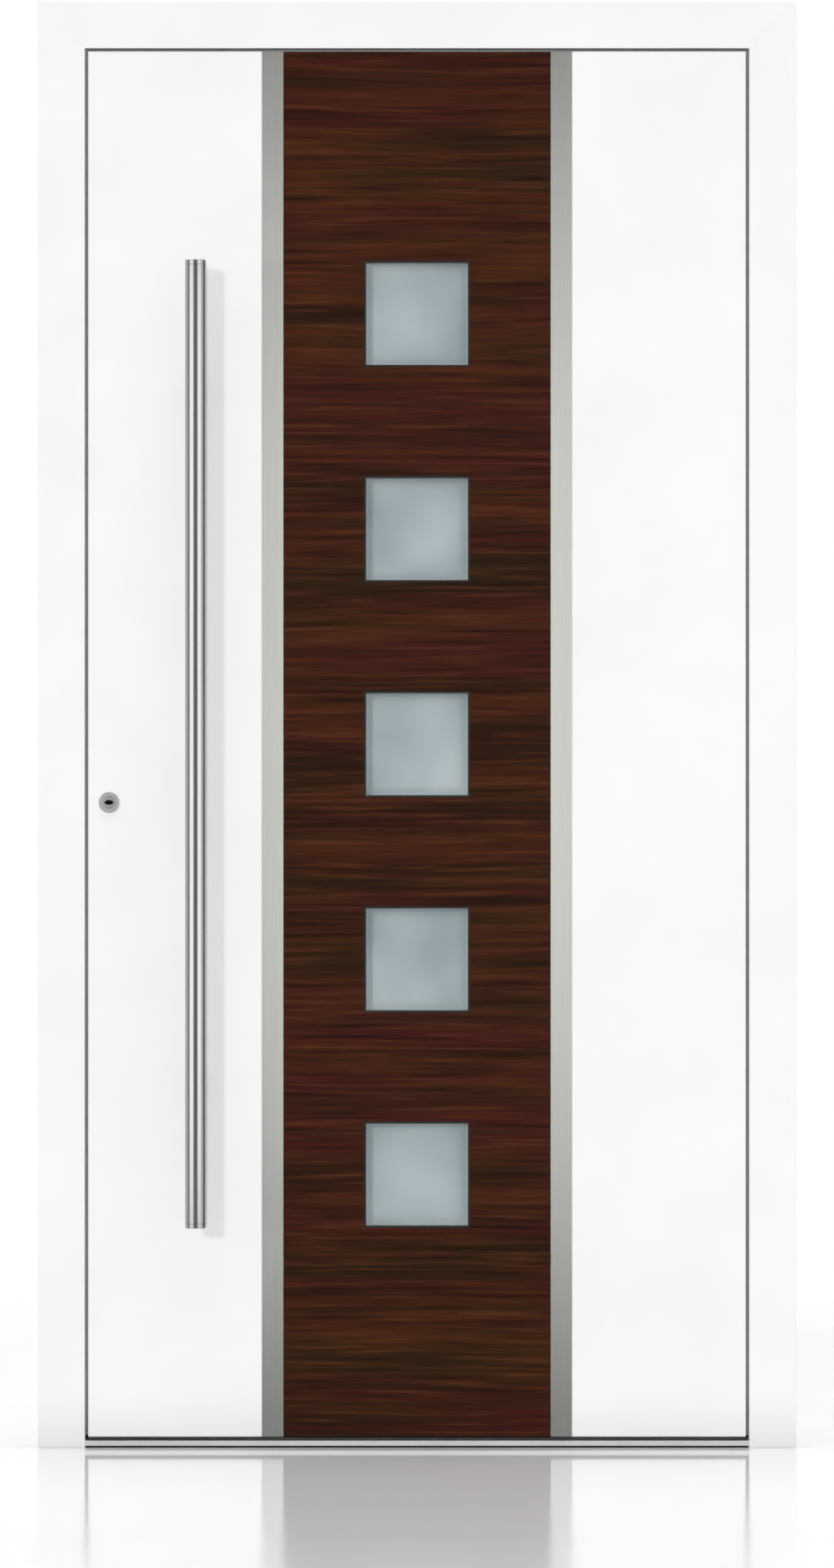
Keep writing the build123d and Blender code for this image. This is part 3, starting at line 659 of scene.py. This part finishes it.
def sign_off(piece, name, finish, body):
    """Gives the piece its name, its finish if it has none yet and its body."""
    only(piece)
    bpy.ops.object.transform_apply(location=True, rotation=True, scale=True)
    piece.name = piece.data.name = name
    if not piece.data.materials:
        piece.data.materials.append(finish)
    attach(piece, body)
    bpy.ops.object.select_all(action="DESELECT")
    print(name, len(piece.data.polygons), "faces")


def box_between(low, high):
    """A plain box between two corners, as a start."""
    low, high = Vector(low), Vector(high)
    bpy.ops.mesh.primitive_cube_add(size=1, location=(low + high) / 2, scale=high - low)
    bpy.ops.object.transform_apply(location=True, scale=True)
    return bpy.context.object


def cut_out(piece, cutter):
    """Takes the cutter's shape out of the piece, which is then the active object."""
    only(piece)
    cut = piece.modifiers.new("cut", "BOOLEAN")
    cut.operation = "DIFFERENCE"
    cut.object = cutter
    bpy.ops.object.modifier_apply(modifier=cut.name)
    bpy.data.objects.remove(cutter)


# %% [markdown]
# ## Stop gaskets
# On the back of the frame's outer leg sits a rubber gasket that the closed leaf presses against. The
# CAD model has a flat bar there. The real profile is a foot in a groove with a soft bulb on it, so the
# bar's face is extruded in steps, and each step is made narrower or wider.

# %% How a gasket is drawn
GASKET_JOINT = 0.3 * MM
ACROSS_X, ACROSS_Z = 0, 2


def gasket_run(low, high, across, steps, towards):
    """One straight gasket: out of a thin bar grow steps along Y, each a rise in mm and a width."""
    run = box_between(low, high)
    middle = (Vector(low) + Vector(high)) / 2
    start_editing()
    pick_faces(lambda normal: normal.y * towards > FACING)
    for rise, width in steps:
        bpy.ops.mesh.extrude_region_move(
            TRANSFORM_OT_translate={"value": (0, towards * rise * MM, 0)}
        )
        stretch = [1.0, 1.0, 1.0]
        stretch[across] = width
        bpy.ops.transform.resize(value=stretch, center_override=middle)
    stop_editing()
    smooth_below(60)
    return run


def gasket_round(low, high, width, steps, towards):
    """Two upright gaskets and one across over them, in the room between two corners."""
    shoulder = high.z - width
    runs = [
        gasket_run(
            (x, low.y, low.z), (x + width, high.y, shoulder - GASKET_JOINT), ACROSS_X, steps, towards
        )
        for x in (low.x, high.x - width)
    ]
    runs.append(gasket_run((low.x, low.y, shoulder), high, ACROSS_Z, steps, towards))
    return joined(runs)


print("gaskets meet with a joint of", GASKET_JOINT / MM, "mm")

# %% Stop gaskets
GASKET_WIDTH = 12 * MM
GASKET_FOOT = 2 * MM
BULB_STEPS = ((0.5, 0.45), (0.9, 2.0), (2.2, 1.05), (2.2, 0.72), (1.2, 0.5))
low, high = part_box("frame_gaskets")
foot = Vector((high.x, low.y + GASKET_FOOT, high.z))
stop_gaskets = gasket_round(low, foot, GASKET_WIDTH, BULB_STEPS, 1)
sign_off(stop_gaskets, "stop_gaskets", rubber, "frame")
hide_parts("frame_gaskets")

# %% [markdown]
# ## Weather strip of the leaf
# A grey rubber strip runs round the leaf's flange and is what the eye meets at the bottom of the
# narrow gap between leaf and frame. It is made like the stop gaskets, but lower and rounder, and it
# looks outwards.

# %% Weather strip of the leaf
strip_rubber, tree, shader, place = new_finish("grey_thermoplastic_rubber")
dust = grain(tree, place, (9, 9, 9), detail=3.0)
lay_on(tree, shader, colour=(dust, "#B4B4B5", "#BEBEBF"), roughness=(dust, 0.6, 0.75))
STRIP_WIDTH = 7.5 * MM
STRIP_FOOT = 0.5 * MM
STRIP_CLEAR = 0.3 * MM
STRIP_STEPS = ((0.5, 0.96), (0.4, 0.85), (0.25, 0.6))
flange_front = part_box("leaf_thermal_breaks")[1].y
leaf_low, leaf_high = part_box("left_panel")[0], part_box("right_panel")[1]
outer = leaf_high.x + STRIP_CLEAR + STRIP_WIDTH
strip_low = Vector((-outer, flange_front - STRIP_FOOT, leaf_low.z))
strip_high = Vector((outer, flange_front, leaf_high.z + STRIP_CLEAR + STRIP_WIDTH))
weather_strip = gasket_round(strip_low, strip_high, STRIP_WIDTH, STRIP_STEPS, -1)
sign_off(weather_strip, "leaf_weather_strip", strip_rubber, "leaf")
print("flange at", round(flange_front / MM, 2), "mm")

# %% [markdown]
# ## Lip of the drop seal
# Under the leaf two thin rubber fins close the gap to the threshold and keep light and draught out,
# from edge to edge of the leaf. Each is a bar whose lower face is drawn in to a blunt edge.

# %% Lip of the drop seal
LIP_CLEARANCE = 0.7 * MM
LIP_SET_IN = 1 * MM
FIN_SET_IN = 3 * MM
FIN_HALF = 1.6 * MM
FIN_TAPER = 0.35
low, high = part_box("drop_seal")
threshold_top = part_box("threshold")[1].z
lip_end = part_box("hinge_stile")[1].x - LIP_SET_IN
fins = []
for centre in (low.y + FIN_SET_IN, high.y - FIN_SET_IN):
    fin = box_between(
        (-lip_end, centre - FIN_HALF, threshold_top + LIP_CLEARANCE),
        (lip_end, centre + FIN_HALF, leaf_low.z + LIP_SET_IN),
    )
    start_editing()
    pick_faces(lambda normal: normal.z < -FACING)
    bpy.ops.transform.resize(value=(1, FIN_TAPER, 1), center_override=(0, centre, low.z))
    stop_editing()
    fins.append(fin)
sign_off(joined(fins), "drop_seal_lip", rubber, "leaf")

# %% [markdown]
# ## Sealing tape under the threshold
# The threshold's front is undercut, and a black foam tape in the undercut seals it to the floor. Its
# black is also painted shade: from the front it draws the dark line of shadow between the metal and the
# floor. A flat bar gets its front bevelled round, as a squeezed tape bulges.

# %% Sealing tape under the threshold
TAPE_HEIGHT = 2.9 * MM
TAPE_SET_BACK = 1.0 * MM
TAPE_DEPTH = 8.5 * MM
TAPE_PAST_LEAF = 4 * MM
TAPE_ROUND = 0.6 * MM
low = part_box("threshold")[0]
tape_end = leaf_high.x + TAPE_PAST_LEAF
tape_front = low.y + TAPE_SET_BACK
# The tape's black is painted shade along the foot of the threshold.
tape = box_between(
    (-tape_end, tape_front, low.z), (tape_end, tape_front + TAPE_DEPTH, low.z + TAPE_HEIGHT)
)
start_editing()
pick_faces(lambda normal: normal.y < -FACING)
bpy.ops.mesh.bevel(offset=TAPE_ROUND, segments=3, affect="EDGES")
stop_editing()
smooth_below(50)
sign_off(tape, "threshold_tape_and_painted_shade_line", rubber, "frame")

# %% [markdown]
# ## Window gaskets
# A narrow black gasket closes the joint between the veneer and each window's lining and draws the
# dark line round the pane. It lies on the lining's bevel. A thin plate gets its front and back inset,
# the two inner faces are bridged, which opens the plate to a square frame, and the inner front edge
# is bevelled round.

# %% Window gaskets
LINING_WALL = 3 * MM
GASKET_SIGHT = 2.7 * MM
GASKET_DEPTH = 3.2 * MM
GASKET_SINK = 0.2 * MM
GASKET_ROUND = 1.8 * MM
PICK_ROOM = 1 * MM
ring_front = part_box("wood_panel")[0].y + GASKET_SINK
for number in WINDOWS:
    low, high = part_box(f"window_{number}_glass")
    middle = (low + high) / 2
    half = (high.x - low.x) / 2 + LINING_WALL
    inner_half = half - GASKET_SIGHT
    ring = box_between(
        (middle.x - half, ring_front, middle.z - half),
        (middle.x + half, ring_front + GASKET_DEPTH, middle.z + half),
    )
    start_editing()
    pick_faces(lambda normal: abs(normal.y) > FACING)
    bpy.ops.mesh.inset(thickness=GASKET_SIGHT)
    bpy.ops.mesh.bridge_edge_loops()
    pick_edges(
        lambda end: end.y < ring_front + PICK_ROOM and abs(end.x - middle.x) < inner_half + PICK_ROOM
    )
    bpy.ops.mesh.bevel(offset=GASKET_ROUND, segments=4, affect="EDGES")
    stop_editing()
    smooth_below(40)
    sign_off(ring, f"window_{number}_gasket", rubber, "leaf")

# %% [markdown]
# ## Glazing seals
# A thin fillet of clear silicone closes the joint between each pane and its lining, and shows as a
# fine light line where it faces the lamp. It starts as a flat square ring, whose outer corners are
# drawn forward along the lining, and then gets a little thickness.

# %% Glazing seals
sealant, tree, shader, place = new_finish("translucent_silicone_sealant")
skin = grain(tree, place, (6, 6, 6))
lay_on(tree, shader, colour=(skin, "#98A1A3", "#A4ACAE"), roughness=(skin, 0.4, 0.55))
SEAL_LEG = 1.6 * MM
SEAL_WALL = 0.4 * MM
FACING_OUT = (math.pi / 2, 0, 0)
for number in WINDOWS:
    low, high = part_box(f"window_{number}_glass")
    middle = (low + high) / 2
    half = (high.x - low.x) / 2
    bpy.ops.mesh.primitive_plane_add(
        size=2 * half, location=(middle.x, low.y - SEAL_WALL, middle.z), rotation=FACING_OUT
    )
    seal = bpy.context.object
    bpy.ops.object.transform_apply(location=True, rotation=True)
    start_editing()
    bpy.ops.mesh.select_all(action="SELECT")
    bpy.ops.mesh.inset(thickness=SEAL_LEG)
    bpy.ops.mesh.delete(type="ONLY_FACE")
    pick_edges(lambda end: abs(end.x - middle.x) > half - SEAL_LEG / 2)
    bpy.ops.mesh.select_mode(type="VERT")
    bpy.ops.transform.translate(value=(0, -SEAL_LEG, 0))
    stop_editing()
    seal.modifiers.new("wall", "SOLIDIFY").thickness = SEAL_WALL
    bpy.ops.object.modifier_apply(modifier="wall")
    sign_off(seal, f"window_{number}_seal", sealant, "leaf")

# %% [markdown]
# ## One screw
# Hinges, lock plate and strike plates are held by flat-headed screws with a hexagon socket. One is
# modelled at the origin, looking along Y: a disc with its rim rounded off and a six-sided hole cut into
# it. The socket is painted black as shade, so that it reads deep, and the head keeps the polished steel.

# %% Painted shade in recesses
# Painted shade: a near-black with a random mottle, laid on faces deep in recesses.
painted_shade_black, tree, shader, place = new_finish("painted_shade_black_for_recesses")
shade_mottle = grain(tree, place, (1.5, 1.5, 1.5))
lay_on(tree, shader, colour=(shade_mottle, "#17151A", "#24222A"), roughness=(shade_mottle, 0.4, 0.6))
shader.inputs["Metallic"].default_value = 0.6
HAIR = 0.1 * MM


def paint_recess_shade(piece, metal, in_recess):
    """Gives the piece its metal, and black painted shade where a face's centre passes the test."""
    piece.data.materials.append(metal)
    piece.data.materials.append(painted_shade_black)
    for face in piece.data.polygons:
        face.material_index = int(in_recess(face.center))
    print(sum(face.material_index for face in piece.data.polygons), "dark faces")


print(painted_shade_black.name)

# %% One screw
SCREW_RADIUS = 4.2 * MM
SCREW_HEIGHT = 2.0 * MM
SCREW_ROUND = 0.8 * MM
SOCKET_RADIUS = 2.1 * MM
SOCKET_DEPTH = 0.8 * MM
FACING_IN = (-math.pi / 2, 0, 0)
bpy.ops.mesh.primitive_cylinder_add(
    vertices=32, radius=SCREW_RADIUS, depth=SCREW_HEIGHT, location=(0, -SCREW_HEIGHT / 2, 0),
    rotation=FACING_IN,
)
screw = bpy.context.object
bpy.ops.object.transform_apply(location=True, rotation=True)
start_editing()
pick_faces(lambda normal: normal.y > FACING)
bpy.ops.mesh.bevel(offset=SCREW_ROUND, segments=3, affect="EDGES")
stop_editing()
bpy.ops.mesh.primitive_cylinder_add(
    vertices=6, radius=SOCKET_RADIUS, depth=2 * SOCKET_DEPTH, rotation=FACING_IN
)
cut_out(screw, bpy.context.object)
smooth_below(35)
# The socket's faces get the black painted shade.
paint_recess_shade(
    screw, hinge_steel,
    lambda at: -SCREW_HEIGHT + HAIR < at.y < -HAIR and at.length < SOCKET_RADIUS,
)
print("screw of", len(screw.data.polygons), "faces")

# %% [markdown]
# ## All screws
# All other screws are copies, each with its own mesh and its own turn, as no two screws stop at the
# same angle. Their heads stand a millimetre proud of the plates. The hinges' places follow from the
# pins' ends, and those of the strikes and the lock plate from their own ends and the lock's height.

# %% Copies and their places
PROUD = 1.0 * MM
SCREW_TURN = 0.9
FACING_LEFT = math.pi / 2
FACING_RIGHT = -math.pi / 2


def copies_at(original, spots, turn):
    """Copies of one object at several spots, turned about Z and each a little about its own axis."""
    copies = []
    for count, spot in enumerate(spots):
        only(original)
        bpy.ops.object.duplicate()
        copy = bpy.context.object
        copy.location = spot
        copy.rotation_euler = (0, SCREW_TURN * count, turn)
        bpy.ops.object.transform_apply(location=True, rotation=True)
        copies.append(copy)
    return joined(copies)


def drive_screws(name, spots, turn, body):
    """Drives a screw at each spot and signs them off as one piece."""
    sign_off(copies_at(screw, spots, turn), name, hinge_steel, body)


print("screws stand", PROUD / MM, "mm proud")

# %% Screws of the hinges
HINGE_PLATE_HALF = 15 * MM
HINGE_PLATE_THICKNESS = 6 * MM
PIN_HALF = 59.5 * MM
LEAF_SCREW_RISES = (-17 * MM, 17 * MM)
FRAME_SCREW_RISES = (-44 * MM, 0.0, 44 * MM)
low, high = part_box("hinge_pins")
hinge_z = (low.z + PIN_HALF, (low.z + high.z) / 2, high.z - PIN_HALF)
head_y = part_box("lock_stile")[1].y + HINGE_PLATE_THICKNESS + PROUD
leaf_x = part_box("hinge_leaf_halves")[0].x + HINGE_PLATE_HALF
frame_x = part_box("hinge_frame_halves")[1].x - HINGE_PLATE_HALF
leaf_spots = [(leaf_x, head_y, z + rise) for z in hinge_z for rise in LEAF_SCREW_RISES]
frame_spots = [(frame_x, head_y, z + rise) for z in hinge_z for rise in FRAME_SCREW_RISES]
drive_screws("hinge_leaf_screws", leaf_spots, 0, "leaf")
drive_screws("hinge_frame_screws", frame_spots, 0, "frame")

# %% Screws of the lock plate and the strikes
END_INSET = 12 * MM
SECOND_INSET = 420 * MM
PLATE_MIDDLE_RISES = (-67 * MM, 223 * MM)
SHORT_STRIKE = 98 * MM
MIDDLE_STRIKE_RISES = (-1 * MM, 157 * MM)
core_low, core_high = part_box("lock_core")
lock_z = (core_low.z + core_high.z) / 2
low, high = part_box("lock_plate")
lock_line = (low.y + high.y) / 2
plate_z = [low.z + END_INSET, low.z + SECOND_INSET]
plate_z += [lock_z + rise for rise in PLATE_MIDDLE_RISES]
plate_z += [high.z - SECOND_INSET, high.z - END_INSET]
plate_spots = [(low.x - PROUD, lock_line, z) for z in plate_z]
drive_screws("lock_plate_screws", plate_spots, FACING_LEFT, "leaf")
low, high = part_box("strike_plates")
strikes = (
    (low.z, low.z + SHORT_STRIKE),
    [lock_z + rise for rise in MIDDLE_STRIKE_RISES],
    (high.z - SHORT_STRIKE, high.z),
)
strike_z = [z for bottom, top in strikes for z in (bottom + END_INSET, top - END_INSET)]
strike_spots = [(high.x + PROUD, lock_line, z) for z in strike_z]
drive_screws("strike_screws", strike_spots, FACING_RIGHT, "frame")
bpy.data.objects.remove(screw)

# %% [markdown]
# ## Caps over the wall fixings
# The frame is bolted to the wall through its rebate, and white plastic caps hide the bolt heads. A cap
# is a thin disc with a rounded rim and a shallow dish. The record states the bolts as pairs, each with
# its middle and its spacing, and both jambs have them at the same heights.

# %% Caps over the wall fixings
cap_plastic, tree, shader, place = new_finish("white_moulded_plastic_cap")
sheen = grain(tree, place, (3, 3, 3))
lay_on(tree, shader, colour=(sheen, "#E9EAE8", "#F0F1EF"), roughness=(sheen, 0.45, 0.55))
CAP_RADIUS = 7.5 * MM
CAP_HEIGHT = 1.5 * MM
CAP_ROUND = 0.8 * MM
CAP_RIM = 1.2 * MM
DISH_DEPTH = 0.4 * MM
FLAT = 0.99
bpy.ops.mesh.primitive_cylinder_add(
    vertices=40, radius=CAP_RADIUS, depth=CAP_HEIGHT, location=(0, CAP_HEIGHT / 2, 0), rotation=FACING_IN
)
cap = bpy.context.object
bpy.ops.object.transform_apply(location=True, rotation=True)
start_editing()
pick_faces(lambda normal: normal.y > FACING)
bpy.ops.mesh.bevel(offset=CAP_ROUND, segments=3, affect="EDGES")
pick_faces(lambda normal: normal.y > FLAT)
bpy.ops.mesh.inset(thickness=CAP_RIM)
bpy.ops.mesh.inset(thickness=CAP_RIM, depth=-DISH_DEPTH)
stop_editing()
smooth_below(40)
print("cap of", len(cap.data.polygons), "faces")

# %% Places of the caps
fixing_z = []
for mount in frame["record"]["mounts"]:
    if mount["kind"] == "bolt_pattern" and mount["name"].startswith("lock_jamb"):
        _, fixing_y, pair_z = mount["pos_m"]
        half = mount["dims"]["spacing_y_mm"] * MM / 2
        fixing_z += [pair_z - half, pair_z + half]
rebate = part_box("threshold_break")[1].x
caps = [
    copies_at(cap, [(x, fixing_y, z) for z in sorted(fixing_z)], turn)
    for x, turn in ((-rebate, FACING_RIGHT), (rebate, FACING_LEFT))
]
bpy.data.objects.remove(cap)
sign_off(joined(caps), "fixing_caps", cap_plastic, "frame")

# %% [markdown]
# ## Lock core
# The core is the round plug that the key turns. Its face is let in round the keyway, in an oval that
# guides the key, and the oval and the keyway are painted black as shade. The plug starts as a cylinder
# with a rounded rim, and the oval and the keyway are cut out of it one after the other.

# %% Lock core
CORE_ROUND = 0.5 * MM
middle = (core_low + core_high) / 2
bpy.ops.mesh.primitive_cylinder_add(
    vertices=64, radius=(core_high.x - core_low.x) / 2, depth=core_high.y - core_low.y,
    location=middle, rotation=FACING_OUT,
)
core = bpy.context.object
bpy.ops.object.transform_apply(location=True, rotation=True)
start_editing()
pick_faces(lambda normal: normal.y < -FACING)
bpy.ops.mesh.bevel(offset=CORE_ROUND, segments=3, affect="EDGES")
stop_editing()
print("plug of", len(core.data.polygons), "faces")

# %% Oval and keyway
OVAL_WIDE = 6.4 * MM
OVAL_TALL = 3.6 * MM
OVAL_DEEP = 0.9 * MM
KEYWAY_REACH = Vector((5.5, 12.0, 1.7)) * MM
face_middle = Vector((middle.x, core_low.y, middle.z))
bpy.ops.mesh.primitive_cylinder_add(
    vertices=48, radius=1, depth=1, location=face_middle, rotation=FACING_OUT,
    scale=(OVAL_WIDE, OVAL_TALL, 2 * OVAL_DEEP),
)
cut_out(core, bpy.context.object)
cut_out(core, box_between(face_middle - KEYWAY_REACH, face_middle + KEYWAY_REACH))
smooth_below(35)


def in_keyway(at):
    """Whether a point lies in the oval or the keyway, and not on the core's two ends."""
    wide = (at.x - middle.x) / (OVAL_WIDE + HAIR)
    tall = (at.z - middle.z) / (OVAL_TALL + HAIR)
    return wide**2 + tall**2 < 1 and core_low.y + HAIR < at.y < core_high.y - HAIR


# The oval and the keyway get the black painted shade.
paint_recess_shade(core, core_metal, in_keyway)
sign_off(core, "turning_lock_core", core_metal, "lock_core")
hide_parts("lock_core")
